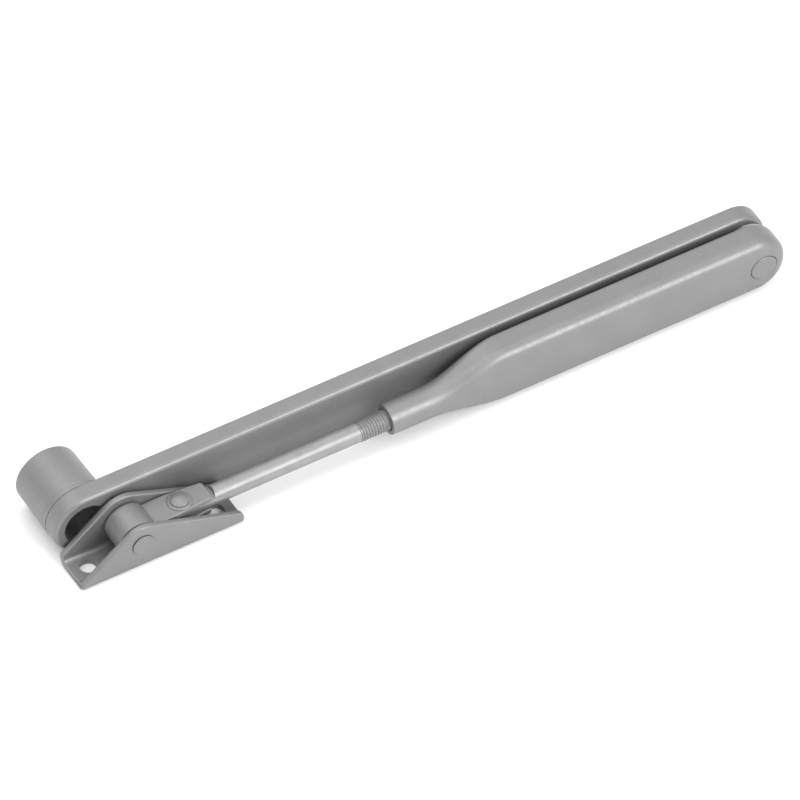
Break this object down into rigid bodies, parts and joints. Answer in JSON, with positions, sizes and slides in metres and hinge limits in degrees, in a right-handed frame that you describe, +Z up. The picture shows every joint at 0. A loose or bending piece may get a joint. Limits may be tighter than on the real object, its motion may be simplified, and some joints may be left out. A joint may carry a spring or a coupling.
{
  "type": "door closer arm",
  "caption": "Folding double-lever arm of a surface door closer: flat arm with spindle hub, tapered forearm, threaded rod, swivel link and channel shoe.",
  "frame": {"origin": "bottom centre of the folded arm's box, on the surface that the hub and the shoe base rest on", "axes": "+X from the spindle hub to the elbow, +Y along the hub away from the forearm, +Z up from the shoe base"},
  "size_m": [0.3332, 0.0544, 0.0288],
  "materials": {
    "silver_paint": "satin sprayed aluminium-grey paint",
    "rod_steel": "smooth turned rod with a darker rolled thread",
    "plain_steel": "plain machined steel",
    "bronze": "sintered bronze",
    "nylon": "natural nylon"
  },
  "bodies": {
    "main_arm": {"main_arm_bar": "silver_paint", "arm_hub": "silver_paint", "spindle_socket": "plain_steel", "elbow_rivet": "silver_paint", "elbow_spring_washer": "plain_steel"},
    "forearm": {"forearm_shell": "silver_paint", "elbow_collar": "silver_paint", "elbow_bushing": "bronze", "elbow_thrust_washer": "nylon"},
    "rod": {"adjusting_rod": "rod_steel"},
    "link": {"swivel_link": "silver_paint", "swivel_rivet": "silver_paint", "swivel_washer_upper": "silver_paint", "swivel_washer_lower": "silver_paint", "pivot_sleeve": "bronze"},
    "shoe": {"shoe_bracket": "silver_paint", "shoe_pin": "silver_paint"}
  },
  "joints": [
    {"name": "elbow", "type": "hinge", "parent": "main_arm", "child": "forearm", "pos_m": [0.15527, -0.0162, 0.0144], "axis": [0, 1, 0], "range_deg": [-180, 180]},
    {"name": "rod_adjust", "type": "slide", "parent": "forearm", "child": "rod", "axis": [1, 0, 0], "range_m": [-0.02, 0.012]},
    {"name": "swivel", "type": "hinge", "parent": "rod", "child": "link", "pos_m": [-0.11503, -0.01703, 0.01315], "axis": [0, 0, 1], "range_deg": [-1.1, 2.3]},
    {"name": "shoe_pivot", "type": "hinge", "parent": "link", "child": "shoe", "pos_m": [-0.13723, -0.01703, 0.01315], "axis": [0, 1, 0], "range_deg": [-6, 180]}
  ]
}
